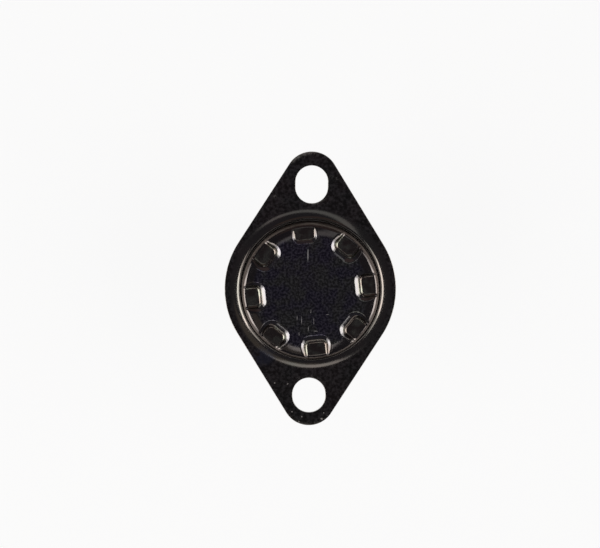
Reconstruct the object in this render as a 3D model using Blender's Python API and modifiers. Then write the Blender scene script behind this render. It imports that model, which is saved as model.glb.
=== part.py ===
"""Flange-mounted disc thermostat, modelled as it is put together.

Z points out of the sensing face and its origin is the middle of that face.
Y runs along the diamond flange, with the oblong screw hole at the +Y end.
"""

import math

import bmesh
import bpy
from mathutils import Matrix, Vector

mm = 0.001

# Fits
seat_gap = 0.10 * mm            # between pieces that touch on the real part
hinge_gap = 0.20 * mm           # room for the arm's foot to tilt as the arm bends
round_steps = 72                # a multiple of the pocket count keeps the pockets alike
small_round_steps = 24
bend_steps = 5

# Mounting flange: the outline is a middle arc and two end arcs joined by straight edges
flange_sheet = 0.50 * mm
screw_pitch = 28.00 * mm
screw_shift = 0.15 * mm         # the screw pair sits this far towards the round hole's ear
ear_end_radius = 3.50 * mm
ear_end_reach = 0.68 * mm       # centre of an ear's end arc, past half the screw pitch
ear_drop = 3.00 * mm            # from the sensing face down to the top of the ears
oblong_width = 4.40 * mm
oblong_length = 5.09 * mm
round_hole_width = 4.48 * mm
round_hole_length = 4.68 * mm
lip_gap = 0.20 * mm             # air between the cap's wall and the lip
lip_land = 0.14 * mm            # width of the lip's end, seen from above
lip_height = 0.47 * mm
lip_flare = 3.30 * mm           # the gentle radius at the lip's foot
lip_flare_end = math.radians(18)        # slope at which it tightens
lip_bend = 1.00 * mm            # and the radius from there to the crest
side_flat = 0.48 * mm           # between the flare and the flange's edge at the sides

# Sensing cap
cap_sheet = 0.35 * mm
cap_radius = 9.00 * mm
cap_corner = 0.85 * mm
cap_brim_fillet = 0.30 * mm
crimp_inset = 0.15 * mm         # from the flange's edge at the sides in to the crimp
crimp_bend = 0.50 * mm          # outer radius of both bends
crimp_reach = 1.50 * mm         # from the crimp's outer face in under the shoulder
cap_turn = math.radians(6.6)    # the pocket pattern's turn against the flange's length
pocket_count = 8
pocket_depth = 0.65 * mm
pocket_length = 2.36 * mm       # from the cap's wall inwards to the middle of the pocket's wall
pocket_width = 2.88 * mm        # between the middles of the pocket's side walls
pocket_corner = 0.70 * mm       # in plan, at the middle of the wall
pocket_brow = 1.10 * mm         # radius over which the face rolls down into a pocket
pocket_foot = 0.50 * mm         # radius at the foot of a pocket's wall
brow_start = math.radians(10)   # the brow's first facet leaves the face at this slope
cutter_lift = 0.05 * mm         # how far the pockets' cutters stand above the face

# Bimetal disc, in its cold shape
disc_side_gap = 0.50 * mm
disc_sheet = 0.25 * mm
disc_rise = 0.40 * mm

# Pin guide and pin
guide_side_gap = 0.10 * mm
guide_plate = 1.20 * mm
guide_rim_wall = 1.20 * mm
guide_spigot_depth = 0.80 * mm
guide_boss_wall = 0.92 * mm
guide_boss_depth = 1.20 * mm    # below the plate
pin_radius = 1.00 * mm
pin_running_gap = 0.08 * mm
pin_play = 0.25 * mm            # free air between the cold disc and the pin
pin_chamfer = 0.35 * mm

# Base body
shoulder_thickness = 1.60 * mm
shoulder_side_gap = 0.10 * mm
shoulder_step = 1.70 * mm       # how far the shoulder stands out from the body
body_wall = 1.60 * mm
body_chamfer = 0.40 * mm
chamber_depth = 5.95 * mm
body_floor = 1.10 * mm          # between the chamber and the terminal channels
pedestal_width = 6.00 * mm
pedestal_setback = 0.30 * mm    # from the pedestal's edge to the arm's crank

# Contact arm and fixed strip
rivet_bend_gap = 0.20 * mm      # from the right rivet's head to the strip's bend
arm_sheet = 0.20 * mm
arm_width = 3.60 * mm
arm_tail = 1.50 * mm            # from the rivet's axis outwards
arm_crank = 0.40 * mm           # rise of the arm above its foot
arm_crank_run = 0.60 * mm
arm_overhang = 1.30 * mm        # from the contact's axis to the arm's end
arm_end_gap = 0.80 * mm         # from the arm's end to the strip's riser
contact_radius = 1.40 * mm
contact_height = 0.60 * mm
contact_crown = 0.15 * mm
contact_shank_radius = 0.60 * mm
contact_tail_radius = 0.95 * mm
contact_tail_height = 0.30 * mm
strip_headroom = 0.30 * mm      # from the guide's spigot down to the strip's tongue
strip_wall_gap = 0.27 * mm      # from the riser's corners to the chamber's wall
strip_sheet = 0.40 * mm
strip_width = 3.60 * mm
strip_margin = 0.30 * mm        # of the foot, past the rivet's head
strip_tongue = 1.60 * mm        # from the contact's axis towards the middle
strip_bend = 0.60 * mm

# Rivets and terminals
rivet_radius = 1.20 * mm
rivet_head_radius = 1.80 * mm
rivet_head_height = 0.60 * mm
rivet_crank_gap = 0.10 * mm     # from the left rivet's head to the arm's crank
blade_width = 6.30 * mm
blade_sheet = 0.80 * mm
blade_rim_gap = 0.40 * mm       # from a blade's corners to the body's edge
blade_length = 8.00 * mm        # below the body
blade_margin = 0.50 * mm        # of the foot, past the rivet's head
blade_bend = 0.90 * mm
blade_tip_length = 1.00 * mm
blade_tip_inset = 1.20 * mm
blade_hole_radius = 0.85 * mm
blade_hole_from_tip = 3.20 * mm
channel_side_gap = 0.15 * mm

# Radii and places that follow from the fits
flare = min(lip_flare, lip_height / 2 / (1 - math.cos(lip_flare_end)))      # leaves half for the bend
bend_rise = lip_height - flare * (1 - math.cos(lip_flare_end))
crest_slope = math.acos(max(math.cos(lip_flare_end) - bend_rise / lip_bend, 0))
lip_bore = cap_radius + lip_gap
crest_radius = lip_bore + lip_land
flare_end_radius = crest_radius + lip_bend * (math.sin(crest_slope) - math.sin(lip_flare_end))
lip_foot = flare_end_radius + flare * math.sin(lip_flare_end)
flange_side_radius = lip_foot + side_flat
crimp_radius = flange_side_radius - crimp_inset
crimp_mouth = crimp_radius - crimp_reach
shoulder_radius = crimp_radius - cap_sheet - shoulder_side_gap
shoulder_chamfer = crimp_bend - cap_sheet           # clears the inside of the crimp's bends
body_radius = shoulder_radius - shoulder_step
chamber_radius = body_radius - body_wall
ear_end_offset = screw_pitch / 2 + ear_end_reach
ear_lean = math.asin((flange_side_radius - ear_end_radius) / ear_end_offset)
pocket_tilt = math.acos(1 - pocket_depth / (pocket_brow + pocket_foot))     # wall at its steepest
pocket_floor_start = cap_radius - pocket_length + pocket_foot * math.sin(pocket_tilt)
disc_radius = cap_radius - cap_sheet - disc_side_gap
guide_radius = cap_radius - cap_sheet - guide_side_gap
pin_bore = pin_radius + pin_running_gap
strip_outer = math.sqrt((chamber_radius - strip_wall_gap) ** 2 - (strip_width / 2) ** 2)
strip_riser = strip_outer - strip_sheet / 2
rivet_offset = strip_riser - strip_bend - rivet_bend_gap - rivet_head_radius
contact_offset = strip_outer - strip_sheet - arm_end_gap - arm_overhang
arm_crank_place = -rivet_offset + rivet_head_radius + rivet_crank_gap
blade_outer = math.sqrt((body_radius - blade_rim_gap) ** 2 - (blade_width / 2) ** 2)
blade_middle = blade_outer - blade_sheet / 2
blade_foot_end = rivet_offset - rivet_head_radius - blade_margin

# Levels, from the sensing face downwards
brim_top = -(ear_drop + flange_sheet + seat_gap)
brim_bottom = brim_top - cap_sheet
shoulder_top = brim_bottom - seat_gap
shoulder_bottom = shoulder_top - shoulder_thickness
crimp_bottom = shoulder_bottom - seat_gap - cap_sheet
chamber_floor = shoulder_top - chamber_depth
channel_top = chamber_floor - body_floor
body_bottom = channel_top - seat_gap - blade_sheet
blade_foot_middle = body_bottom + blade_sheet / 2
blade_tip = body_bottom - blade_length

rise_at_pocket = disc_rise * (1 - (pocket_floor_start / disc_radius) ** 2)
disc_rim_top = -(pocket_depth + cap_sheet + seat_gap + rise_at_pocket)
disc_rim_bottom = disc_rim_top - disc_sheet
guide_rim_top = disc_rim_bottom - seat_gap
guide_bottom = shoulder_top + seat_gap
spigot_bottom = guide_bottom - guide_spigot_depth

strip_tongue_middle = spigot_bottom - strip_headroom - strip_sheet / 2
strip_foot_middle = chamber_floor + seat_gap + strip_sheet / 2
contact_face = strip_tongue_middle - strip_sheet / 2 - 2 * seat_gap - contact_height
arm_top = contact_face - contact_height - seat_gap
arm_middle = arm_top - arm_sheet / 2
arm_foot_middle = arm_middle - arm_crank
pedestal_top = arm_foot_middle - arm_sheet / 2 - hinge_gap
pin_top = disc_rim_bottom + disc_rise - pin_play
pin_bottom = arm_top + seat_gap


def start_scene(name):
    """Empty the scene and return the collections for the parts and for the cutters."""
    for obj in list(bpy.data.objects):
        bpy.data.objects.remove(obj, do_unlink=True)
    parts = bpy.data.collections.new(name)
    cutters = bpy.data.collections.new(name + "_cutters")
    for collection in (parts, cutters):
        bpy.context.scene.collection.children.link(collection)
    return parts, cutters


parts, cutters = start_scene("disc_thermostat")


def finish_material(name, colour, roughness, metallic):
    """A plain Principled material for one piece."""
    material = bpy.data.materials.new(name)
    material.use_nodes = True
    shader = material.node_tree.nodes["Principled BSDF"]
    shader.inputs["Base Color"].default_value = (*colour, 1)
    shader.inputs["Roughness"].default_value = roughness
    shader.inputs["Metallic"].default_value = metallic
    return material


def object_from(name, bm, collection=parts):
    """Turn a bmesh into a named object."""
    mesh = bpy.data.meshes.new(name)
    bm.to_mesh(mesh)
    bm.free()
    obj = bpy.data.objects.new(name, mesh)
    collection.objects.link(obj)
    return obj


def hide_cutter(obj):
    """Show a cutter as wire and keep it out of the render."""
    obj.hide_render = True
    obj.display_type = "WIRE"
    return obj


def turned(name, profile, steps=round_steps, collection=parts):
    """Turn a profile of (radius, height) points round Z, outer side from top to bottom."""
    bm = bmesh.new()
    verts = [bm.verts.new((radius, 0, height)) for radius, height in profile]
    for first, second in zip(verts, verts[1:]):
        bm.edges.new((first, second))
    obj = object_from(name, bm, collection)
    screw = obj.modifiers.new("turn", "SCREW")
    screw.steps = steps
    screw.render_steps = steps
    screw.use_merge_vertices = True
    screw.merge_threshold = 0.00001
    screw.use_smooth_shade = True
    return obj


def arc(centre, radius, start, end, steps=bend_steps):
    """Points on an arc, both ends included."""
    turns = [start + (end - start) * step / steps for step in range(steps + 1)]
    return [(centre[0] + radius * math.cos(t), centre[1] + radius * math.sin(t)) for t in turns]


def boolean(obj, cutter, operation="DIFFERENCE"):
    """Cut or join with another object, which is kept as a hidden guide."""
    modifier = obj.modifiers.new(cutter.name, "BOOLEAN")
    modifier.operation = operation
    modifier.solver = "EXACT"
    modifier.object = hide_cutter(cutter)


def drill(obj, place, radius, low, high, steps=small_round_steps):
    """Cut a round hole along Z."""
    bm = bmesh.new()
    bmesh.ops.create_cone(bm, cap_ends=True, segments=steps, radius1=radius, radius2=radius,
                          depth=high - low)
    bmesh.ops.translate(bm, verts=bm.verts, vec=(place[0], place[1], (low + high) / 2))
    boolean(obj, object_from(obj.name + "_drill", bm, cutters))


def block(name, low, high):
    """A box cutter between two corners."""
    bm = bmesh.new()
    bmesh.ops.create_cube(bm, size=1)
    size = Vector(high) - Vector(low)
    bmesh.ops.scale(bm, verts=bm.verts, vec=size)
    bmesh.ops.translate(bm, verts=bm.verts, vec=(Vector(low) + Vector(high)) / 2)
    return object_from(name, bm, cutters)


def settle(obj, material, sharp_angle=math.radians(32)):
    """Apply the modifiers, shade the round faces smooth and give the piece its material."""
    bpy.context.view_layer.update()
    graph = bpy.context.evaluated_depsgraph_get()
    mesh = bpy.data.meshes.new_from_object(obj.evaluated_get(graph), depsgraph=graph)
    obj.modifiers.clear()
    mesh.name = obj.name
    obj.data = mesh
    mesh.shade_smooth()
    mesh.set_sharp_from_angle(angle=sharp_angle)
    mesh.materials.clear()
    mesh.materials.append(material)
    return obj


# Mounting flange

def flange_outline():
    """The blank's edge: round sides, and straight-sided ears with round ends."""
    points = []
    for side, ear in ((0, ear_end_offset), (math.pi, -ear_end_offset)):
        points += arc((0, 0), flange_side_radius, side - ear_lean, side + ear_lean, 14)
        points += arc((0, ear), ear_end_radius, side + ear_lean, side + math.pi - ear_lean, 16)[1:-1]
    return points


def oblong(centre_y, width, length):
    """A screw hole's edge: two half circles set apart along Y."""
    reach = (length - width) / 2
    top = arc((0, centre_y + reach), width / 2, 0, math.pi, small_round_steps // 2)
    bottom = arc((0, centre_y - reach), width / 2, math.pi, 2 * math.pi, small_round_steps // 2)
    return top + bottom


def closed_loop(bm, points, height):
    """Add a closed loop of edges at one height."""
    verts = [bm.verts.new((x, y, height)) for x, y in points]
    return [bm.edges.new(pair) for pair in zip(verts, verts[1:] + verts[:1])]


def draw_out(bm, ring, path):
    """Draw a ring of edges round Z along a path of (radius, height) points."""
    for radius, height in path:
        made = bmesh.ops.extrude_edge_only(bm, edges=ring)["geom"]
        verts = {item for item in made if isinstance(item, bmesh.types.BMVert)}
        for vert in verts:
            vert.co = (*(vert.co.xy.normalized() * radius), height)
        ring = [item for item in made if isinstance(item, bmesh.types.BMEdge)
                and set(item.verts) <= verts]


def lip_section():
    """The drawn lip: up its underside, up the bore, over the crest and down the outer face."""
    flare_centre = (lip_foot, -ear_drop + flare)
    bend_centre = (flare_end_radius + lip_bend * math.sin(lip_flare_end),
                   flare_centre[1] - (flare - lip_bend) * math.cos(lip_flare_end))
    below = arc(flare_centre, -flare - flange_sheet, math.pi / 2, math.pi / 2 - lip_flare_end, 3)
    outer_bend = lip_bend + flange_sheet
    bore_slope = math.asin(min((bend_centre[0] - lip_bore) / outer_bend, 1))
    below += arc(bend_centre, -outer_bend, math.pi / 2 - lip_flare_end, math.pi / 2 - bore_slope, 3)[1:]
    above = arc(bend_centre, -lip_bend, math.pi / 2 - crest_slope, math.pi / 2 - lip_flare_end)
    above += arc(flare_centre, -flare, math.pi / 2 - lip_flare_end, math.pi / 2, 3)[1:]
    crest_drop = lip_land / math.tan(crest_slope)
    return below + [(lip_bore, above[0][1] - crest_drop)] + above


def make_mounting_flange():
    """Stamped sheet: a flat diamond with two screw holes and a lip drawn up round the cap."""
    bm = bmesh.new()
    section = lip_section()
    top_place = screw_pitch / 2 - screw_shift
    bottom_place = -screw_pitch / 2 - screw_shift
    levels = []
    for height in (-ear_drop - flange_sheet, -ear_drop):
        circle = arc((0, 0), lip_foot, 0, 2 * math.pi, round_steps)[:-1]
        loops = [closed_loop(bm, flange_outline(), height),
                 closed_loop(bm, oblong(top_place, oblong_width, oblong_length), height),
                 closed_loop(bm, oblong(bottom_place, round_hole_width, round_hole_length), height),
                 closed_loop(bm, circle, height)]
        bmesh.ops.triangle_fill(bm, use_beauty=True, edges=[edge for loop in loops for edge in loop])
        levels.append(loops)
    for below, above in list(zip(*levels))[:3]:
        bmesh.ops.bridge_loops(bm, edges=below + above)
    draw_out(bm, levels[0][3], section[1:])
    bmesh.ops.remove_doubles(bm, verts=bm.verts, dist=0.001 * mm)
    bmesh.ops.recalc_face_normals(bm, faces=bm.faces)
    flange = object_from("mounting_flange", bm)
    return settle(flange, finish_material("dark_nickel", (0.10, 0.09, 0.085), 0.22, 1))


# Sensing cap

def pocket_outline(spread):
    """A pocket in plan, its floor spread outwards: two rounded inner corners, open at the rim."""
    foot_run = pocket_foot * math.sin(pocket_tilt)
    half = pocket_width / 2 - foot_run + spread
    corner = pocket_corner - foot_run + spread
    centre_x = pocket_floor_start - spread + corner
    lower = arc((centre_x, corner - half), corner, -math.pi / 2, -math.pi, 3)
    upper = arc((centre_x, half - corner), corner, math.pi, math.pi / 2, 3)
    outer = cap_radius + cap_sheet
    return [(outer, -half)] + lower + upper + [(outer, half)]


def pocket_levels(foot, brow, steps):
    """(spread, rise) up a pocket's wall: hollow foot, rounded brow, then on past the face."""
    middle = foot * math.sin(pocket_tilt)
    levels = [(foot * math.sin(tilt), foot * (1 - math.cos(tilt)))
              for tilt in [pocket_tilt * step / steps for step in range(steps + 1)]]
    for step in range(1, steps + 1):
        tilt = pocket_tilt + (brow_start - pocket_tilt) * step / steps
        levels.append((middle + brow * (math.sin(pocket_tilt) - math.sin(tilt)),
                       pocket_depth - brow * (1 - math.cos(tilt))))
    spread, rise = levels[-1]
    over = pocket_depth + cutter_lift
    return levels + [(spread + (over - rise) / math.tan(brow_start), over)]


def pocket_blocks(name, floor_level, levels):
    """The press tool's eight noses: each rises from a pocket's floor along its wall."""
    bm = bmesh.new()
    for number in range(pocket_count):
        loops = [closed_loop(bm, pocket_outline(spread), floor_level + rise) for spread, rise in levels]
        for lower, upper in zip(loops, loops[1:]):
            bmesh.ops.bridge_loops(bm, edges=lower + upper)
        for end in (loops[0], loops[-1]):
            bmesh.ops.contextual_create(bm, geom=end)
        nose = {vert for loop in loops for edge in loop for vert in edge.verts}
        turn = cap_turn + number * 2 * math.pi / pocket_count
        bmesh.ops.rotate(bm, verts=list(nose), cent=(0, 0, 0), matrix=Matrix.Rotation(turn, 3, "Z"))
    bmesh.ops.recalc_face_normals(bm, faces=bm.faces)
    return object_from(name, bm, cutters)


def make_sensing_cap():
    """Drawn cup: pressed pockets in its rim, brim under the flange, edge crimped round the body."""
    inner_radius = cap_radius - cap_sheet
    inner_corner = cap_corner - cap_sheet
    inner_fillet = cap_brim_fillet + cap_sheet
    outside = [(0, 0)]
    outside += arc((cap_radius - cap_corner, -cap_corner), cap_corner, math.pi / 2, 0)
    outside += arc((cap_radius + cap_brim_fillet, brim_top + cap_brim_fillet), cap_brim_fillet,
                   math.pi, 1.5 * math.pi, 3)
    bend_centres = [(crimp_radius - crimp_bend, brim_top - crimp_bend),
                    (crimp_radius - crimp_bend, crimp_bottom + crimp_bend)]
    for centre, start in zip(bend_centres, (math.pi / 2, 0)):
        outside += arc(centre, crimp_bend, start, start - math.pi / 2, 2)
    outside.append((0, crimp_bottom))
    inside = [(0, -cap_sheet)]
    inside += arc((inner_radius - inner_corner, -cap_sheet - inner_corner), inner_corner,
                  math.pi / 2, 0, 2)
    inside += arc((inner_radius + inner_fillet, brim_bottom + inner_fillet), inner_fillet,
                  math.pi, 1.5 * math.pi, 2)
    for centre, start in zip(bend_centres, (math.pi / 2, 0)):
        inside += arc(centre, crimp_bend - cap_sheet, start, start - math.pi / 2, 1)
    below = crimp_bottom - cap_sheet
    inside += [(crimp_mouth, crimp_bottom + cap_sheet), (crimp_mouth, below), (0, below)]
    cap = turned("sensing_cap", outside)
    hollow = turned("cap_hollow", inside, collection=cutters)
    outer_levels = pocket_levels(pocket_foot, pocket_brow, 3)
    inner_levels = pocket_levels(pocket_foot + cap_sheet, pocket_brow - cap_sheet, 2)
    boolean(cap, pocket_blocks("pockets_outside", -pocket_depth, outer_levels))
    boolean(hollow, pocket_blocks("pockets_inside", -pocket_depth - cap_sheet, inner_levels))
    boolean(cap, hollow)
    return settle(cap, finish_material("black_nickel", (0.085, 0.08, 0.095), 0.16, 1))


# Parts inside the cap

def make_bimetal_disc():
    """Dished snap disc in its cold shape, its rim below the pockets."""
    rings = 6
    radii = [disc_radius * ring / rings for ring in range(rings + 1)]
    dome = [(radius, disc_rise * (1 - (radius / disc_radius) ** 2)) for radius in radii]
    top = [(radius, disc_rim_top + rise) for radius, rise in dome]
    bottom = [(radius, disc_rim_bottom + rise) for radius, rise in reversed(dome)]
    disc = turned("bimetal_disc", top + bottom, round_steps // 2)
    return settle(disc, finish_material("bimetal", (0.55, 0.50, 0.42), 0.30, 1))


def make_pin_guide():
    """Moulded plate: a rim that carries the disc, a spigot in the chamber, a boss round the pin."""
    plate_top = guide_bottom + guide_plate
    boss_radius = pin_bore + guide_boss_wall
    boss_bottom = guide_bottom - guide_boss_depth
    spigot_radius = chamber_radius - guide_side_gap
    profile = [(pin_bore, plate_top), (guide_radius - guide_rim_wall, plate_top),
               (guide_radius - guide_rim_wall, guide_rim_top), (guide_radius, guide_rim_top),
               (guide_radius, guide_bottom), (spigot_radius, guide_bottom),
               (spigot_radius, spigot_bottom), (spigot_radius - guide_rim_wall, spigot_bottom),
               (spigot_radius - guide_rim_wall, guide_bottom), (boss_radius, guide_bottom),
               (boss_radius, boss_bottom), (pin_bore, boss_bottom), (pin_bore, plate_top)]
    guide = turned("pin_guide", profile, round_steps // 2)
    return settle(guide, finish_material("brown_phenolic", (0.16, 0.09, 0.05), 0.55, 0))


def make_transfer_pin():
    """Ceramic rod that carries the disc's snap to the arm."""
    flat = pin_radius - pin_chamfer
    profile = [(0, pin_top), (flat, pin_top), (pin_radius, pin_top - pin_chamfer),
               (pin_radius, pin_bottom + pin_chamfer), (flat, pin_bottom), (0, pin_bottom)]
    pin = turned("transfer_pin", profile, small_round_steps)
    return settle(pin, finish_material("white_ceramic", (0.82, 0.80, 0.75), 0.45, 0))


# Base body

def make_base_body():
    """Moulded cup: shoulder held in the cap's crimp, chamber, arm pedestal, terminal channels."""
    profile = [(0, chamber_floor), (chamber_radius, chamber_floor), (chamber_radius, shoulder_top),
               (shoulder_radius - shoulder_chamfer, shoulder_top),
               (shoulder_radius, shoulder_top - shoulder_chamfer),
               (shoulder_radius, shoulder_bottom + shoulder_chamfer),
               (shoulder_radius - shoulder_chamfer, shoulder_bottom),
               (body_radius, shoulder_bottom), (body_radius, body_bottom + body_chamfer),
               (body_radius - body_chamfer, body_bottom), (0, body_bottom)]
    body = turned("base_body", profile)
    wall_middle = (chamber_radius + body_radius) / 2
    pedestal = block("pedestal", (-wall_middle, -pedestal_width / 2, chamber_floor - body_floor / 2),
                     (arm_crank_place - pedestal_setback, pedestal_width / 2, pedestal_top))
    boolean(body, pedestal, "UNION")
    channel_half = blade_width / 2 + channel_side_gap
    channel_end = blade_foot_end - channel_side_gap
    for side in (-1, 1):
        ends = sorted((side * channel_end, side * (body_radius + body_chamfer)))
        channel = block("channel", (ends[0], -channel_half, body_bottom - blade_sheet),
                        (ends[1], channel_half, channel_top))
        boolean(body, channel)
        drill(body, (side * rivet_offset, 0), rivet_radius + seat_gap, body_bottom, shoulder_top)
    return settle(body, finish_material("black_phenolic", (0.035, 0.03, 0.028), 0.5, 0))


# Contacts, strips, rivets and terminals

def rounded_path(corners, radius, steps=bend_steps):
    """A path through (x, z) corners, each inner corner turned on an arc."""
    points = [Vector(corners[0])]
    for before, corner, after in zip(corners, corners[1:], corners[2:]):
        corner = Vector(corner)
        back = (Vector(before) - corner).normalized()
        ahead = (Vector(after) - corner).normalized()
        half_turn = back.angle(ahead) / 2
        centre = corner + (back + ahead).normalized() * radius / math.sin(half_turn)
        start = corner + back * radius / math.tan(half_turn) - centre
        sweep = start.angle_signed(corner + ahead * radius / math.tan(half_turn) - centre)
        points += [centre + Matrix.Rotation(-sweep * step / steps, 2) @ start
                   for step in range(steps + 1)]
    return points + [Vector(corners[-1])]


def formed_strip(name, path, width, sheet, tip_inset=0):
    """Bent sheet of even thickness: a ribbon along a path in the XZ plane, thickened both ways."""
    bm = bmesh.new()
    verts = [bm.verts.new((x, -width / 2, z)) for x, z in path]
    edges = [bm.edges.new(pair) for pair in zip(verts, verts[1:])]
    made = bmesh.ops.extrude_edge_only(bm, edges=edges)["geom"]
    far_side = [item for item in made if isinstance(item, bmesh.types.BMVert)]
    bmesh.ops.translate(bm, verts=far_side, vec=(0, width, 0))
    end = Vector(path[-1])
    for vert in bm.verts:
        if (Vector((vert.co.x, vert.co.z)) - end).length < 1e-7:
            vert.co.y -= math.copysign(tip_inset, vert.co.y)
    strip = object_from(name, bm)
    wall = strip.modifiers.new("sheet", "SOLIDIFY")
    wall.thickness = sheet
    wall.offset = 0
    wall.use_even_offset = True
    return strip


def make_spring_arm():
    """Leaf spring from the left rivet to the moving contact, cranked up clear of its seat."""
    corners = [(-rivet_offset - arm_tail, arm_foot_middle), (arm_crank_place, arm_foot_middle),
               (arm_crank_place + arm_crank_run, arm_middle),
               (contact_offset + arm_overhang, arm_middle)]
    arm = formed_strip("spring_arm", rounded_path(corners, arm_crank_run / 2, 3), arm_width, arm_sheet)
    low = arm_foot_middle - strip_sheet
    high = arm_middle + strip_sheet
    drill(arm, (-rivet_offset, 0), rivet_radius + seat_gap, low, high)
    drill(arm, (contact_offset, 0), contact_shank_radius + seat_gap, low, high)
    return settle(arm, finish_material("beryllium_copper", (0.62, 0.36, 0.20), 0.28, 1))


def contact_rivet(name, sheet, flip):
    """A contact rivet with its head up at +Z from the sheet's middle, or turned over."""
    seat = sheet / 2 + seat_gap
    profile = [(0, seat + contact_height), (contact_radius / 2, seat + contact_height - contact_crown / 4),
               (contact_radius, seat + contact_height - contact_crown), (contact_radius, seat),
               (contact_shank_radius, seat), (contact_shank_radius, -seat),
               (contact_tail_radius, -seat), (contact_tail_radius, -seat - contact_tail_height),
               (0, -seat - contact_tail_height)]
    if flip:
        profile = [(radius, -height) for radius, height in reversed(profile)]
    return turned(name, profile, small_round_steps)


def make_contacts():
    """The moving contact, head up on the arm, and the fixed one, head down on the strip."""
    silver = finish_material("silver", (0.80, 0.79, 0.76), 0.25, 1)
    for name, level, sheet, flip in (("moving_contact", arm_middle, arm_sheet, False),
                                     ("fixed_contact", strip_tongue_middle, strip_sheet, True)):
        contact = contact_rivet(name, sheet, flip)
        contact.location = (contact_offset, 0, level)
        settle(contact, silver)


def make_fixed_strip():
    """Brass strip from the right rivet up the chamber's side and in over the arm's end."""
    foot_end = rivet_offset - rivet_head_radius - strip_margin
    corners = [(foot_end, strip_foot_middle), (strip_riser, strip_foot_middle),
               (strip_riser, strip_tongue_middle), (contact_offset - strip_tongue, strip_tongue_middle)]
    strip = formed_strip("fixed_strip", rounded_path(corners, strip_bend), strip_width, strip_sheet)
    drill(strip, (rivet_offset, 0), rivet_radius + seat_gap,
          strip_foot_middle - strip_sheet, strip_foot_middle + strip_sheet)
    drill(strip, (contact_offset, 0), contact_shank_radius + seat_gap,
          strip_tongue_middle - strip_sheet, strip_tongue_middle + strip_sheet)
    return settle(strip, finish_material("strip_brass", (0.66, 0.50, 0.24), 0.30, 1))


def make_rivet(name, side, inner_seat):
    """A headed rivet from the strip's foot in the chamber to the terminal's foot below the body."""
    outer_seat = body_bottom - seat_gap
    rounding = rivet_head_height / 3
    profile = [(0, inner_seat + rivet_head_height),
               (rivet_head_radius - rounding, inner_seat + rivet_head_height),
               (rivet_head_radius, inner_seat + rivet_head_height - rounding),
               (rivet_head_radius, inner_seat), (rivet_radius, inner_seat),
               (rivet_radius, outer_seat), (rivet_head_radius, outer_seat),
               (rivet_head_radius, outer_seat - rivet_head_height + rounding),
               (rivet_head_radius - rounding, outer_seat - rivet_head_height),
               (0, outer_seat - rivet_head_height)]
    rivet = turned(name, profile, small_round_steps)
    rivet.location.x = side * rivet_offset
    return settle(rivet, finish_material(name + "_brass", (0.70, 0.54, 0.27), 0.28, 1))


def make_terminal(name, side):
    """Push-on blade, bent straight back from a foot in the body's channel."""
    corners = [(blade_foot_end, blade_foot_middle), (blade_middle, blade_foot_middle),
               (blade_middle, blade_tip + blade_tip_length)]
    path = rounded_path(corners, blade_bend) + [Vector((blade_middle, blade_tip))]
    if side < 0:
        path = [Vector((-point.x, point.y)) for point in path]
    terminal = formed_strip(name, path, blade_width, blade_sheet, blade_tip_inset)
    drill(terminal, (side * rivet_offset, 0), rivet_radius + seat_gap,
          body_bottom - blade_sheet, channel_top)
    bm = bmesh.new()
    bmesh.ops.create_cone(bm, cap_ends=True, segments=small_round_steps, radius1=blade_hole_radius,
                          radius2=blade_hole_radius, depth=4 * blade_sheet)
    bmesh.ops.rotate(bm, verts=bm.verts, matrix=Matrix.Rotation(math.pi / 2, 3, "Y"))
    bmesh.ops.translate(bm, verts=bm.verts, vec=(side * blade_middle, 0, blade_tip + blade_hole_from_tip))
    boolean(terminal, object_from(name + "_hole", bm, cutters))
    return settle(terminal, finish_material(name + "_tin", (0.62, 0.60, 0.56), 0.32, 1))


make_mounting_flange()
make_sensing_cap()
make_bimetal_disc()
make_pin_guide()
make_transfer_pin()
make_base_body()
make_spring_arm()
make_contacts()
make_fixed_strip()
make_rivet("rivet_left", -1, arm_foot_middle + arm_sheet / 2 + hinge_gap)
make_rivet("rivet_right", 1, strip_foot_middle + strip_sheet / 2 + seat_gap)
make_terminal("terminal_left", -1)
make_terminal("terminal_right", 1)
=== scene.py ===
"""Looks of a flange-mounted disc thermostat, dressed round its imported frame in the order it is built.

Z points out of the sensing face and Y runs along the flange, with the oblong screw hole at +Y.
"""

import math

import bmesh
import bpy
from mathutils import Matrix, Vector


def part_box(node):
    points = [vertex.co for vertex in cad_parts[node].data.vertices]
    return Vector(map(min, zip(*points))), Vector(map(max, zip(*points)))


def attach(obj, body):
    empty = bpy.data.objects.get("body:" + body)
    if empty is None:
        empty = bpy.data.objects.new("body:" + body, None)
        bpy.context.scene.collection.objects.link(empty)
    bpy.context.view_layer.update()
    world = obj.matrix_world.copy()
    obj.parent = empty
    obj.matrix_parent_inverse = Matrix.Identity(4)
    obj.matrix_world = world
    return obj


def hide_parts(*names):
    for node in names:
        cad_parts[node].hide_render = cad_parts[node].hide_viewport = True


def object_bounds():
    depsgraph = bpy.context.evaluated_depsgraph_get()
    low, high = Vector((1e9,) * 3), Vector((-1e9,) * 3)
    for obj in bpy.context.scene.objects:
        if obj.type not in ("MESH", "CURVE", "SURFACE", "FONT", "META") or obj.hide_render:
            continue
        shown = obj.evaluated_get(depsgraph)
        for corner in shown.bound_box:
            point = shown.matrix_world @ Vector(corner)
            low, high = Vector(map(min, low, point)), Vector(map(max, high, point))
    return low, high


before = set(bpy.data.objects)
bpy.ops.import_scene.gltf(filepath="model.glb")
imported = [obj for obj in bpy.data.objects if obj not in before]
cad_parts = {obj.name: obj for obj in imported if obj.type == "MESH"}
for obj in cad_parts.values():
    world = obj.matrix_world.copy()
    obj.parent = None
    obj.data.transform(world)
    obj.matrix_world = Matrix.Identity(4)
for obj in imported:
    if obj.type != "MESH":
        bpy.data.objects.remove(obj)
solids_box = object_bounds()
mm = 0.001


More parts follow.
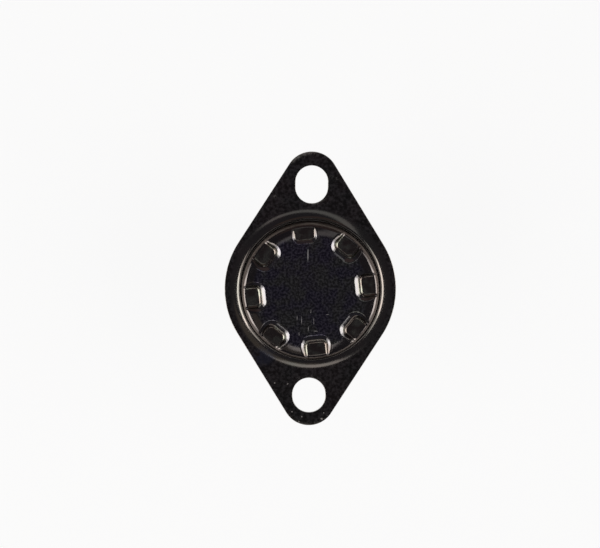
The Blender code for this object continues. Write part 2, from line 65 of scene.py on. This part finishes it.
# Base body: a black phenolic moulding, satin, with a faint flow mottle in its skin.
# It keeps the solid's shape, with the edges rounded as a mould leaves them, and its shoulder
# is gripped by the cap's crimped skirt.

moulded_edge = 0.15 * mm
edge_segments = 3
sharp_angle = math.radians(30)      # a fold sharper than this is an edge
weld_distance = 0.0005 * mm
flat_angle = math.radians(0.3)      # triangles that meet below this angle share a face


class Flow:
    """A value on its way through a material's nodes. Sums of flows add their own Math nodes."""

    def __init__(self, tree, socket=None):
        self.tree = tree
        self.socket = socket

    def node(self, kind, settings=None, values=None, output=0):
        """Add a shader node: its settings first, then the values or links of its sockets."""
        made = self.tree.nodes.new("ShaderNode" + kind)
        for name, value in (settings or {}).items():
            setattr(made, name, value)
        for name, value in (values or {}).items():
            if isinstance(value, Flow):
                self.tree.links.new(value.socket, made.inputs[name])
            else:
                made.inputs[name].default_value = value
        return Flow(self.tree, made.outputs[output])

    def maths(self, operation, *values):
        return self.node("Math", {"operation": operation}, dict(enumerate(values)))

    def __add__(self, other):
        return self.maths("ADD", self, other)

    def __radd__(self, other):
        return self.maths("ADD", other, self)

    def __sub__(self, other):
        return self.maths("SUBTRACT", self, other)

    def __rsub__(self, other):
        return self.maths("SUBTRACT", other, self)

    def __mul__(self, other):
        return self.maths("MULTIPLY", self, other)

    def __rmul__(self, other):
        return self.maths("MULTIPLY", other, self)

    def place(self):
        """Object coordinates in millimetres."""
        metres = self.node("TexCoord", output="Object")
        return self.node("VectorMath", {"operation": "SCALE"}, {0: metres, "Scale": 1 / mm})

    def part(self, axis):
        """One coordinate of a vector: 0, 1 or 2."""
        return self.node("SeparateXYZ", values={0: self}, output=axis)

    def grain(self, per_mm, detail=2.0, stretch=(1, 1, 1), seed=(0, 0, 0)):
        """Soft noise from 0 to 1 with so many features to a millimetre."""
        moved = self.node("Mapping", values={"Vector": self, "Location": seed, "Scale": stretch})
        return self.node("TexNoise", values={"Vector": moved, "Scale": per_mm, "Detail": detail})

    def between(self, low, high):
        """0 below low, 1 above high, smooth in between."""
        return self.node("MapRange", {"interpolation_type": "SMOOTHSTEP"},
                         {"Value": self, "From Min": low, "From Max": high})

    def tint(self, first, second):
        """A colour that goes from the first to the second as the flow goes from 0 to 1."""
        ends = [colour if isinstance(colour, Flow) else (*colour, 1) for colour in (first, second)]
        return self.node("Mix", {"data_type": "RGBA"}, {0: self, 6: ends[0], 7: ends[1]}, output=2)

    def relief(self, depth):
        """A surface normal from heights of 0 to 1, so many metres deep."""
        return self.node("Bump", values={"Height": self, "Distance": depth})

    def across(self, width=1, length=1):
        """The part of a place that lies in the plane of the face, measured in widths and lengths."""
        return self.node("VectorMath", {"operation": "MULTIPLY"}, {0: self, 1: (1 / width, 1 / length, 0)})

    def reach(self):
        """The length of a vector."""
        return self.node("VectorMath", {"operation": "LENGTH"}, {0: self}, output=1)

    def rays(self, kind):
        """1 where the surface is met by the camera's own, a mirrored or a see-through ray."""
        return self.node("LightPath", output=f"Is {kind} Ray")

    def marks(self, *ovals):
        """1 inside soft ovals, 0 elsewhere: each has its middle, half its width and half its length."""
        shade = 0
        for x, y, half_width, half_length in ovals:
            off = self.node("VectorMath", {"operation": "SUBTRACT"}, {0: self, 1: (x, y, 0)})
            shade = shade + (1 - off.across(half_width, half_length).reach().between(0.4, 1))
        return shade


def make_finish(name, recipe):
    """A material whose Principled sockets are set or linked as the recipe says."""
    material = bpy.data.materials.new(name)
    material.use_nodes = True
    tree = material.node_tree
    shader = tree.nodes["Principled BSDF"]
    for socket, value in recipe(Flow(tree)).items():
        if isinstance(value, Flow):
            tree.links.new(value.socket, shader.inputs[socket])
        else:
            shader.inputs[socket].default_value = value
    return material


def piece_from(bm, name, finish, body, slot, *nodes):
    """Turn a bmesh into a piece with its finish, which rides on a body and stands for its nodes."""
    mesh = bpy.data.meshes.new(name)
    bm.to_mesh(mesh)
    bm.free()
    mesh.shade_smooth()
    mesh.materials.append(finish)
    piece = bpy.data.objects.new(name, mesh)
    bpy.context.scene.collection.objects.link(piece)
    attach(piece, body)
    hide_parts(*nodes)
    return piece


def keep_flats(piece):
    """Keep a piece's flat faces flat in the light."""
    flats = piece.modifiers.new("flats", "WEIGHTED_NORMAL")
    flats.keep_sharp = True


def soften_edges(piece, radius):
    """Round a piece's sharp edges."""
    bevel = piece.modifiers.new("edges", "BEVEL")
    bevel.width = radius
    bevel.segments = edge_segments
    bevel.angle_limit = sharp_angle
    keep_flats(piece)


def copy_of(node):
    """A solid's own mesh, merged, its coplanar triangles joined into whole faces."""
    bm = bmesh.new()
    bm.from_mesh(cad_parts[node].data)
    bmesh.ops.remove_doubles(bm, verts=bm.verts, dist=weld_distance)
    bmesh.ops.dissolve_limit(bm, angle_limit=flat_angle, verts=bm.verts, edges=bm.edges)
    return bm


def phenolic(colour):
    """Moulded phenolic: nearly even colour, with a soft mottle in its satin skin."""
    def recipe(start):
        place = start.place()
        flow_marks = place.grain(0.6, 3, seed=(3, 1, 7))
        skin = place.grain(9, 2)
        pale = tuple(1.5 * part for part in colour)
        return {"Base Color": flow_marks.between(0.35, 0.7).tint(colour, pale),
                "Roughness": 0.36 + 0.16 * flow_marks,
                "Normal": skin.relief(0.004 * mm)}
    return recipe


body_finish = make_finish("black_phenolic", phenolic((0.022, 0.020, 0.019)))
body = piece_from(copy_of("base_body"), "body_moulding", body_finish, "housing", "body_phenolic",
                  "base_body")
soften_edges(body, moulded_edge)


# Terminals: two blades stamped from tinned brass, bent straight back from their feet.
# Each is the solid's own shape with its sheared edges broken; a rivet holds its foot.

sheared_edge = 0.08 * mm


def rolled_metal(colour, roughness, grain_stretch=(1, 1, 1)):
    """Rolled sheet: fine drawn grain, slightly uneven colour."""
    def recipe(start):
        place = start.place()
        drawn = place.grain(14, 2, stretch=grain_stretch)
        cloud = place.grain(0.8, 3, seed=(5, 2, 1))
        dull = tuple(0.72 * part for part in colour)
        return {"Base Color": cloud.between(0.3, 0.75).tint(dull, colour),
                "Metallic": 1.0,
                "Roughness": roughness + 0.14 * drawn,
                "Normal": drawn.relief(0.002 * mm)}
    return recipe


tin = make_finish("tinned_brass", rolled_metal((0.62, 0.60, 0.56), 0.22, (1, 1, 0.06)))
for side in ("left", "right"):
    blade = piece_from(copy_of("terminal_" + side), "blade_" + side, tin, "housing",
                       "terminal_tin", "terminal_" + side)
    soften_edges(blade, sheared_edge)


# Rivets: brass, headed over the strips inside and the terminals' feet outside.

rivet_edge = 0.10 * mm
brass = make_finish("rivet_brass", rolled_metal((0.70, 0.54, 0.27), 0.24))
for side in ("left", "right"):
    rivet = piece_from(copy_of("rivet_" + side), "headed_rivet_" + side, brass, "housing",
                       "rivet_brass", "rivet_" + side)
    soften_edges(rivet, rivet_edge)


# Contact set, sealed in the chamber: a copper-alloy leaf and a brass strip with silver contacts.
# The solids show as they are, each in its own metal.

def dress(node, finish):
    """Give a solid that stays in view its finish."""
    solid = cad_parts[node]
    if not solid.material_slots:
        solid.data.materials.append(None)
    for slot in solid.material_slots:
        slot.material = finish


dress("spring_arm", make_finish("spring_copper", rolled_metal((0.62, 0.36, 0.20), 0.22, (0.06, 1, 1))))
dress("fixed_strip", make_finish("strip_brass", rolled_metal((0.66, 0.50, 0.24), 0.24, (0.06, 1, 1))))
silver = make_finish("contact_silver", rolled_metal((0.80, 0.79, 0.76), 0.25))
dress("moving_contact", silver)
dress("fixed_contact", silver)


# Pin guide and transfer pin: a brown phenolic plate and a white ceramic rod that slides in it.

def fired_ceramic(start):
    """Unglazed ceramic: off-white, fine and matt."""
    grain = start.place().grain(12, 3)
    return {"Base Color": grain.tint((0.74, 0.72, 0.66), (0.86, 0.84, 0.79)),
            "Roughness": 0.42 + 0.15 * grain,
            "Normal": grain.relief(0.004 * mm)}


dress("pin_guide", make_finish("brown_phenolic", phenolic((0.14, 0.075, 0.04))))
dress("transfer_pin", make_finish("white_ceramic", fired_ceramic))


# Bimetal disc: dished strip metal that snaps over and pushes the pin. It lies under the face.

dress("bimetal_disc", make_finish("bimetal", rolled_metal((0.55, 0.50, 0.42), 0.26, (0.06, 1, 1))))


# Sensing cap: one drawn cup, plated dark and bright, with eight pockets pressed into its rim.
# A fine sheet is spun from the cup's profile, its face falling gently to the rim, and each
# pocket is pressed into it; its brim holds the flange and its edge grips the body.

cap_low, cap_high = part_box("sensing_cap")
cap_sheet = 0.35 * mm
cap_radius = 9.00 * mm
cap_corner = 0.55 * mm
sag_start = 7.05 * mm               # where the face starts to fall away to the rim
sag_end = 8.20 * mm                 # from here on it falls at an even slope
sag_radius = 5.00 * mm
brim_top = -3.60 * mm
brim_fillet = 0.30 * mm
crimp_radius = cap_high.x
crimp_bottom = cap_low.z
crimp_bend = 0.50 * mm
crimp_reach = 1.50 * mm
pocket_count = 8
pattern_turn = math.radians(6.6)
pocket_depth = 0.65 * mm
light_pocket = 2                    # the one towards the oblong hole: pressed lightly, with
light_depth = 0.30 * mm             # sharper brows
light_brow = 0.42 * mm
pocket_half_width = 1.44 * mm       # to the steepest line of a side wall
pocket_end = 6.60 * mm              # from the middle to the steepest line of the inner wall
pocket_corner = 0.75 * mm
brow_crease = 0.12 * mm             # radius of the crease that starts the face's roll
crease_slope = math.radians(15)
end_brow = 1.60 * mm                # radius of the roll into the inner wall
side_brow = 1.00 * mm               # and into the side walls
wall_foot = 0.42 * mm
pressed_corner = 0.57 * mm          # the rim's corner where a pocket runs out over it
press_reach = 2.2 * mm              # the wall is left alone below this depth
press_start = 5.0 * mm              # and the face inside this radius
columns = 576                       # round the cup
outside_rows, inside_rows = 45, 15  # across the pressed zone, on each side of the sheet
outside_bend, inside_bend = 6, 3    # round each bend below it
face_rows = 4                       # inside the pressed zone
wall_rows = 8
sheet_weld = 0.001 * mm
level_slack = 1e-6 * mm


def pocket_drop(x, y):
    """How far the press has moved the face down at a place, 0 on the flat and 1 on a floor."""
    pitch = 2 * math.pi / pocket_count
    angle = math.atan2(y, x) - pattern_turn
    pocket = round(angle / pitch)
    angle -= pitch * pocket
    depth = pocket_depth
    along = math.hypot(x, y) * math.cos(angle)
    across = abs(math.hypot(x, y) * math.sin(angle))
    past_end = pocket_end + pocket_corner - along
    past_side = across - (pocket_half_width - pocket_corner)
    outside = math.hypot(max(past_end, 0), max(past_side, 0))
    distance = outside + min(max(past_end, past_side), 0) - pocket_corner
    end_share = max(past_end, 0) ** 2 / max(outside ** 2, 1e-12)
    brow = side_brow + (end_brow - side_brow) * end_share
    if pocket == light_pocket:
        depth, brow = light_depth, light_brow
    crease_drop = brow_crease * (1 - math.cos(crease_slope))
    tilt = math.acos((crease_drop + brow * math.cos(crease_slope) + wall_foot - depth)
                     / (brow + wall_foot))
    if distance > 0:
        left = brow * math.sin(tilt) - distance
        if left > brow * math.sin(crease_slope):
            rolled = brow * math.cos(crease_slope) - math.sqrt(brow ** 2 - left ** 2)
            return (crease_drop + rolled) / pocket_depth
        left = max(left - (brow - brow_crease) * math.sin(crease_slope), 0)
        return (brow_crease - math.sqrt(brow_crease ** 2 - left ** 2)) / pocket_depth
    left = max(wall_foot * math.sin(tilt) + distance, 0)
    return (depth - wall_foot + math.sqrt(wall_foot ** 2 - left ** 2)) / pocket_depth


def face_sag(reach):
    """How far the face has fallen away towards the rim, at so far from the middle."""
    out = min(max(reach - sag_start, 0), sag_end - sag_start)
    height = math.sqrt(sag_radius ** 2 - out ** 2)
    return sag_radius - height + out / height * max(reach - sag_end, 0)


def arc(centre, radius, start, end, steps):
    """Points on an arc, both ends included."""
    turns = [start + (end - start) * step / steps for step in range(steps + 1)]
    return [(centre[0] + radius * math.cos(t), centre[1] + radius * math.sin(t)) for t in turns]


def steps_between(start, end, steps):
    """Points on a straight line, the first one left out."""
    return [tuple(a + (b - a) * step / steps for a, b in zip(start, end))
            for step in range(1, steps + 1)]


def cup_side(inset, rows, bend_steps):
    """The cup's outer side, or its inner one a sheet's thickness in, spun and pressed."""
    wall_radius, corner, level = cap_radius - inset, cap_corner - inset, -inset
    flat_end = wall_radius - corner
    new_corner = pressed_corner - inset / 2
    quarter = math.pi / 2
    profile = [(0, level)] + steps_between((0, level), (press_start, level), face_rows)
    profile += steps_between((press_start, level), (flat_end, level), rows)
    profile += arc((flat_end, level - corner), corner, quarter, 0, rows // 3)[1:]
    profile += steps_between(profile[-1], (wall_radius, -press_reach), wall_rows)
    profile += arc((cap_radius + brim_fillet, brim_top + brim_fillet), brim_fillet + inset,
                   2 * quarter, 3 * quarter, bend_steps)
    bend_middle = crimp_radius - crimp_bend
    profile += arc((bend_middle, brim_top - crimp_bend), crimp_bend - inset, quarter, 0, bend_steps)
    profile += arc((bend_middle, crimp_bottom + crimp_bend), crimp_bend - inset, 0, -quarter, bend_steps)
    profile.append((crimp_radius - crimp_reach, crimp_bottom + inset))
    bm = bmesh.new()
    verts = [bm.verts.new((radius, 0, height)) for radius, height in profile]
    edges = [bm.edges.new(pair) for pair in zip(verts, verts[1:])]
    bmesh.ops.spin(bm, geom=verts + edges, cent=(0, 0, 0), axis=(0, 0, 1), angle=2 * math.pi,
                   steps=columns, use_merge=True)
    bmesh.ops.remove_doubles(bm, verts=bm.verts, dist=sheet_weld)
    floor_level = level - pocket_depth
    stretch_start = pocket_end + wall_foot
    for vert in bm.verts:
        height, reach = vert.co.z, vert.co.xy.length
        if height < -press_reach or reach < press_start:
            continue
        drop = pocket_drop(vert.co.x, vert.co.y)
        sag = face_sag(reach) * max(1 - drop * pocket_depth / light_depth, 0)
        if height > level - level_slack:
            out = max(reach - stretch_start, 0) / (flat_end - stretch_start)
            pressed = (reach + (corner - new_corner) * out, floor_level)
        elif height > level - corner:
            turn = math.atan2(height - level + corner, reach - flat_end)
            pressed = (wall_radius - new_corner * (1 - math.cos(turn)),
                       floor_level - new_corner * (1 - math.sin(turn)))
        else:
            down = (level - corner - height) / (level - corner + press_reach)
            top = floor_level - new_corner
            pressed = (wall_radius, top + (-press_reach - top) * down)
            sag *= 1 - down
        vert.co.xy *= (reach + (pressed[0] - reach) * drop) / reach
        vert.co.z += (pressed[1] - height) * drop - sag
    return bm


def make_cap():
    """The outer and the inner side of the cup, joined at the crimped edge."""
    bm = cup_side(0, outside_rows, outside_bend)
    inner = cup_side(cap_sheet, inside_rows, inside_bend)
    mesh = bpy.data.meshes.new("cup_inside")
    inner.to_mesh(mesh)
    inner.free()
    bm.from_mesh(mesh)
    bmesh.ops.bridge_loops(bm, edges=[edge for edge in bm.edges if edge.is_boundary])
    bmesh.ops.recalc_face_normals(bm, faces=bm.faces)
    return bm


def plated_cap(start):
    """Dark bright plating: speckled blue-black on the face, browner on the rim and in the pockets."""
    place = start.place()
    speckle = place.grain(3.4, 2).between(0.38, 0.66)
    cloud = place.grain(0.4, 2, seed=(2, 8, 3)).between(0.38, 0.62)
    reach = place.across().reach()
    level = place.part(2)
    pocket = level.between(-0.20, -0.29) * reach.between(8.6, 8.4)
    # The wall is darker and duller: partly the drawn wall's own duller plating, partly painted shade where
    # it goes down into the gap under the flange's lip.
    wall = reach.between(8.66, 8.80) * level.between(-3.5, -3.3)
    stains = pocket * place.grain(0.9, 3, seed=(1, 4, 2)).between(0.4, 0.65)
    scratches = place.marks((-0.38, 4.85, 0.11, 1.15), (-1.7, -3.5, 0.05, 0.5), (-1.1, -3.8, 0.05, 0.8),
                            (0.5, -3.9, 0.05, 0.6), (0.75, -5.2, 0.4, 0.06), (-0.2, -4.9, 0.05, 0.5),
                            (-1.4, -5.6, 0.06, 0.3), (2.3, -3.0, 0.3, 0.05), (0.1, -2.6, 0.05, 0.4))
    flat = level.between(-0.08, -0.01)
    speckled = cloud.tint((0.10, 0.092, 0.135), (0.14, 0.14, 0.125))
    speckled = speckle.tint(speckled, cloud.tint((0.32, 0.30, 0.37), (0.37, 0.375, 0.345)))
    base = flat.tint((0.235, 0.227, 0.23), speckled)
    base = reach.between(7.2, 7.8).tint(base, (0.155, 0.14, 0.135))
    base = pocket.tint(base, stains.tint((0.20, 0.165, 0.145), (0.30, 0.30, 0.25)))
    # Painted shade, in part: the wall darkened towards the gap under the lip.
    base = wall.tint(base, (0.115, 0.092, 0.08))
    return {"Base Color": (0.8 * scratches).tint(base, (0.65, 0.63, 0.62)),
            "Metallic": 1.0,
            "Roughness": 0.11 + 0.05 * speckle + 0.04 * stains + 0.32 * scratches + 0.35 * wall,
            "Normal": place.grain(5, 3).relief(0.001 * mm)}


cap_finish = make_finish("dark_plated_cap", plated_cap)
piece_from(make_cap(), "pressed_cap", cap_finish, "housing", "cap_metal", "sensing_cap")


# Mounting flange: one stamping of dark bright-plated steel, flat out to its edge, with two
# screw holes and a lip drawn up round the cap: a shallow flare that tightens to the crest.
# Every edge has a sheared sheet's small round.

flange_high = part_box("mounting_flange")[1]
flange_sheet = 0.50 * mm
ear_top = -3.00 * mm
ear_end_radius = 3.50 * mm
ear_end_offset = flange_high.y - ear_end_radius
side_radius = flange_high.x
ear_lean = math.asin((side_radius - ear_end_radius) / ear_end_offset)
lip_bore = 9.20 * mm
lip_crest = 9.31 * mm
lip_height = 0.47 * mm
lip_flare = 3.80 * mm
flare_slope = math.radians(18)
lip_bend = 0.60 * mm
screw_places = (13.85 * mm, -14.15 * mm)
screw_holes = ((4.26 * mm, 5.01 * mm), (4.36 * mm, 4.62 * mm))
stamped_edge = 0.06 * mm
edge_steps = 5                      # round an edge of the outline or of a hole
ease_steps = 6                      # round an edge of the lip
side_steps, ear_steps, hole_steps = 90, 72, 48
lip_steps, under_lip_steps = 22, 8
eased_over = 3                      # points past the crest that its edge's round takes in
foot_steps = 360


def loop_of(bm, points, height):
    """A closed loop of edges at one height."""
    verts = [bm.verts.new((x, y, height)) for x, y in points]
    return [bm.edges.new(pair) for pair in zip(verts, verts[1:] + verts[:1])]


def diamond(inset):
    """The flange's outline, or a line a little inside it: round sides, ears with round ends."""
    points = []
    for side, ear in ((0, ear_end_offset), (math.pi, -ear_end_offset)):
        points += arc((0, 0), side_radius - inset, side - ear_lean, side + ear_lean, side_steps)
        points += arc((0, ear), ear_end_radius - inset, side + ear_lean,
                      side + math.pi - ear_lean, ear_steps)[1:-1]
    return points


def oblong(centre, width, length, inset):
    """A screw hole's edge, or a line a little outside it: two half circles set apart along Y."""
    reach, radius = (length - width) / 2, width / 2 + inset
    return (arc((0, centre + reach), radius, 0, math.pi, hole_steps)
            + arc((0, centre - reach), radius, math.pi, 2 * math.pi, hole_steps))


def eased(before, corner, after, radius):
    """An arc that takes the place of a profile's corner."""
    corner = Vector(corner)
    back, on = (Vector(before) - corner).normalized(), (Vector(after) - corner).normalized()
    half = back.angle(on) / 2
    centre = corner + (back + on).normalized() * radius / math.sin(half)
    first = (corner + back * radius / math.tan(half) - centre).normalized()
    last = (corner + on * radius / math.tan(half) - centre).normalized()
    return [tuple(centre + radius * first.slerp(last, step / ease_steps))
            for step in range(ease_steps + 1)]


def lip_profile():
    """The lip's section from its foot below, up the bore, over the crest and down its outer face."""
    flare_rise = lip_flare * (1 - math.cos(flare_slope))
    crest_slope = math.acos(math.cos(flare_slope) - (lip_height - flare_rise) / lip_bend)
    bend_x = lip_crest + lip_bend * math.sin(crest_slope)
    bend_z = ear_top + lip_height + lip_bend * math.cos(crest_slope)
    foot = bend_x + (lip_flare - lip_bend) * math.sin(flare_slope)
    flare_middle = (foot, ear_top + lip_flare)
    upright = 1.5 * math.pi
    flare_turn, crest_turn = upright - flare_slope, upright - crest_slope
    bore_turn = upright - math.asin((bend_x - lip_bore) / (lip_bend + flange_sheet))
    below = arc(flare_middle, lip_flare + flange_sheet, upright, flare_turn, under_lip_steps)
    below += arc((bend_x, bend_z), lip_bend + flange_sheet, flare_turn, bore_turn,
                 under_lip_steps)[1:]
    above = arc((bend_x, bend_z), lip_bend, crest_turn, flare_turn, lip_steps)
    above += arc(flare_middle, lip_flare, flare_turn, upright, lip_steps)[1:]
    crest = above[0]
    mouth = (lip_bore, crest[1] - (lip_crest - lip_bore) / math.tan(crest_slope))
    return (below[:-1] + eased(below[-2], below[-1], mouth, stamped_edge)
            + eased(below[-1], mouth, crest, stamped_edge)
            + eased(mouth, crest, above[eased_over], stamped_edge) + above[eased_over:])


def make_flange():
    """Edges rounded loop by loop, flats filled between them, and the lip drawn from its foot."""
    bm = bmesh.new()
    rounding = [(stamped_edge * (1 - math.sin(t)), stamped_edge * (1 - math.cos(t)))
                for t in [math.pi / 2 * step / edge_steps for step in range(edge_steps + 1)]]
    levels = [(inset, ear_top - drop) for inset, drop in rounding]
    levels += [(inset, ear_top - flange_sheet + drop) for inset, drop in reversed(rounding)]
    profile = lip_profile()
    foot_circle = arc((0, 0), profile[0][0], 0, 2 * math.pi, foot_steps)[:-1]
    edges = [[loop_of(bm, diamond(inset), height) for inset, height in levels]]
    for place, size in zip(screw_places, screw_holes):
        edges.append([loop_of(bm, oblong(place, *size, inset), height) for inset, height in levels])
    for stack in edges:
        for upper, lower in zip(stack, stack[1:]):
            bmesh.ops.bridge_loops(bm, edges=upper + lower)
    foot_loops = [loop_of(bm, foot_circle, profile[-1][1]), loop_of(bm, foot_circle, profile[0][1])]
    for end, foot_loop in zip((0, -1), foot_loops):
        rims = [edge for stack in edges for edge in stack[end]]
        bmesh.ops.triangle_fill(bm, use_beauty=True, edges=rims + foot_loop)
    ring = foot_loops[1]
    for radius, height in profile[1:]:
        made = bmesh.ops.extrude_edge_only(bm, edges=ring)["geom"]
        verts = {item for item in made if isinstance(item, bmesh.types.BMVert)}
        for vert in verts:
            vert.co = (*(vert.co.xy.normalized() * radius), height)
        ring = [item for item in made if isinstance(item, bmesh.types.BMEdge)
                and set(item.verts) <= verts]
    bmesh.ops.remove_doubles(bm, verts=bm.verts, dist=sheet_weld)
    bmesh.ops.recalc_face_normals(bm, faces=bm.faces)
    return bm


def plated_flange(start):
    """Dark bright plating over rolled steel: warm black, streaked on the drawn lip, handling marks."""
    place = start.place()
    flat = place.across()
    plain = flat.reach().between(10.3, 10.9) * place.part(2).between(-3.15, -3.03)
    mottle = 0.5 + plain * (place.grain(2.8, 3).between(0.36, 0.68) - 0.5)
    cloud = place.grain(0.25, 2, seed=(7, 1, 0)).between(0.35, 0.65)
    spoke = flat.node("VectorMath", {"operation": "NORMALIZE"}, {0: flat})
    drawn = spoke.grain(45, 2) * (1 - plain)
    # The bore inside the lip is painted near-black and duller: painted shade in the gap between the lip
    # and the cup.
    bore = flat.reach().between(9.42, 9.34)
    blue = place.marks((-6.1, -9.1, 2.0, 1.6)) * place.grain(1.5, 2).between(0.3, 0.6)
    specks = place.marks((-4.55, -12.6, 0.13, 0.13), (-2.83, -12.7, 0.13, 0.13),
                         (-0.9, -17.05, 0.14, 0.14), (1.76, -17.3, 0.22, 0.18), (2.0, -16.5, 0.13, 0.13),
                         (-2.2, -16.4, 0.13, 0.13), (-1.27, -17.7, 0.14, 0.14))
    scuffs = place.marks((2.6, 14.9, 0.45, 0.25), (3.3, 14.65, 0.4, 0.25), (-4.8, 12.2, 0.35, 0.3))
    scuffs = scuffs * place.grain(5, 3).between(0.35, 0.6)
    base = cloud.tint((0.125, 0.105, 0.095), (0.10, 0.098, 0.085))
    base = mottle.tint(base, cloud.tint((0.33, 0.295, 0.27), (0.29, 0.28, 0.255)))
    base = (0.6 * blue).tint(base, (0.19, 0.22, 0.32))
    # Painted shade in the bore.
    base = bore.tint(base, (0.07, 0.06, 0.055))
    wear = 0.3 * scuffs + 0.8 * specks
    return {"Base Color": wear.tint(base, (0.55, 0.52, 0.50)),
            "Metallic": 1.0,
            "Roughness": 0.09 + 0.03 * mottle + 0.05 * drawn + 0.2 * scuffs + 0.35 * specks
            + 0.3 * bore,
            "Normal": (plain * place.grain(3.5, 3) + 0.6 * drawn).relief(0.001 * mm)}


flange_finish = make_finish("dark_plated_flange", plated_flange)
flange = piece_from(make_flange(), "stamped_flange", flange_finish, "housing", "flange_steel",
                    "mounting_flange")
keep_flats(flange)


# Studio: a white table, a strong soft box in a wider one low at each side, weak panels over
# the ears, dark above, and a camera that looks down from a little towards the oblong hole.

def studio_surface(name, colour):
    """A pale cloth that shows white with a trace of shadow from above, and nothing from below."""
    material = bpy.data.materials.new(name)
    material.use_nodes = True
    tree = material.node_tree
    start = Flow(tree)
    glow = start.node("Emission", values={"Color": (1, 1, 1, 1), "Strength": 1.0})
    cloth = start.node("BsdfDiffuse", values={"Color": (*colour, 1)})
    seen = start.rays("Camera") + start.rays("Glossy") + start.rays("Transmission")
    mixed = start.node("MixShader", values={0: 0.9 * seen, 1: cloth, 2: glow})
    below = start.node("NewGeometry", output="Backfacing")
    shown = start.node("MixShader", values={0: below, 1: mixed, 2: start.node("BsdfTransparent")})
    tree.links.new(shown.socket, tree.nodes["Material Output"].inputs["Surface"])
    return material


table_size = 2.0
table_gap = 0.2 * mm                # below the blades' tips
bm = bmesh.new()
bmesh.ops.create_grid(bm, x_segments=1, y_segments=1, size=table_size / 2)
bmesh.ops.translate(bm, verts=bm.verts, vec=(0, 0, solids_box[0].z - table_gap))
table_mesh = bpy.data.meshes.new("table")
bm.to_mesh(table_mesh)
bm.free()
table = bpy.data.objects.new("table", table_mesh)
table.data.materials.append(studio_surface("white_table", (0.9, 0.9, 0.9)))
bpy.context.scene.collection.objects.link(table)


def soft_box(name, towards, off_axis, distance, size, radiance, colour=(1, 1, 1), spin=0):
    """An area lamp that faces the part, so many degrees off straight above towards a direction."""
    towards, off_axis, spin = math.radians(towards), math.radians(off_axis), math.radians(spin)
    lamp = bpy.data.lights.new(name, "AREA")
    lamp.shape = "RECTANGLE"
    lamp.size, lamp.size_y = size
    lamp.color = colour
    lamp.energy = radiance * math.pi * size[0] * size[1]
    box = bpy.data.objects.new(name, lamp)
    away = Vector((math.sin(off_axis) * math.cos(towards), math.sin(off_axis) * math.sin(towards),
                   math.cos(off_axis)))
    box.location = away * distance
    tangent = Matrix.Rotation(spin, 3, away) @ Vector((-math.sin(towards), math.cos(towards), 0))
    box.rotation_euler = Matrix((tangent, away.cross(tangent), away)).transposed().to_euler()
    box.visible_camera = False
    bpy.context.scene.collection.objects.link(box)


warm = (1.0, 0.975, 0.94)
straw = (1.0, 0.88, 0.66)
amber = (1.0, 0.55, 0.35)
right, left = -6, 197               # degrees round from +X
low = 59.5                          # degrees off straight above
soft_box("soft_box_right", right, low, 0.35, (0.24, 0.25), 2.2, warm)
soft_box("soft_box_left", left, low, 0.35, (0.24, 0.25), 2.6, warm)
soft_box("wide_box_right", right, low, 0.36, (0.44, 0.25), 1.3, warm)
soft_box("wide_box_left", left, low, 0.36, (0.44, 0.25), 1.2, warm)
soft_box("strip_over_oblong_hole", 58, 22, 0.45, (0.42, 0.07), 0.28, spin=68)
soft_box("panel_over_round_hole", -88, 26, 0.45, (0.12, 0.09), 0.68)
soft_box("low_glow_round_hole", -112, 27, 0.45, (0.25, 0.14), 0.09, straw)
soft_box("amber_reflector", 90, 52, 0.4, (0.4, 0.3), 0.06, amber)

dim_sky = (0.048, 0.045, 0.054)
world = bpy.data.worlds.new("studio")
world.use_nodes = True
bpy.context.scene.world = world
tree = world.node_tree
sky = Flow(tree)
ground = sky.node("TexCoord", output="Generated").part(2).between(0, -0.02)
white = sky.rays("Camera") + ground * (sky.rays("Glossy") + sky.rays("Transmission"))
tree.links.new(white.tint(dim_sky, (1, 1, 1)).socket, tree.nodes["Background"].inputs["Color"])

photo_size = (600, 548)
photo_scale = 7.58 / mm             # pixels to a metre, at the ears' level
flange_pixel = (310.3, 289.0)       # where the middle of the flange shows
lens = 240
sensor = 36
camera_tilt = math.radians(6.8)     # towards the oblong hole
camera_roll = math.radians(0.75)
camera_distance = lens / sensor * photo_size[0] / photo_scale

camera_data = bpy.data.cameras.new("camera")
camera_data.lens = lens
camera_data.sensor_width = sensor
camera_data.clip_start = 0.01
camera_data.clip_end = 5
camera = bpy.data.objects.new("camera", camera_data)
bpy.context.scene.collection.objects.link(camera)
turn = Matrix.Rotation(camera_roll, 3, "Z") @ Matrix.Rotation(-camera_tilt, 3, "X")
aim = Vector((photo_size[0] / 2 - flange_pixel[0], flange_pixel[1] - photo_size[1] / 2, 0)) / photo_scale
camera.location = Vector((0, 0, ear_top)) + turn @ (aim + Vector((0, 0, camera_distance)))
camera.rotation_euler = turn.to_euler()
bpy.context.scene.camera = camera
bpy.context.scene.view_settings.view_transform = "Standard"
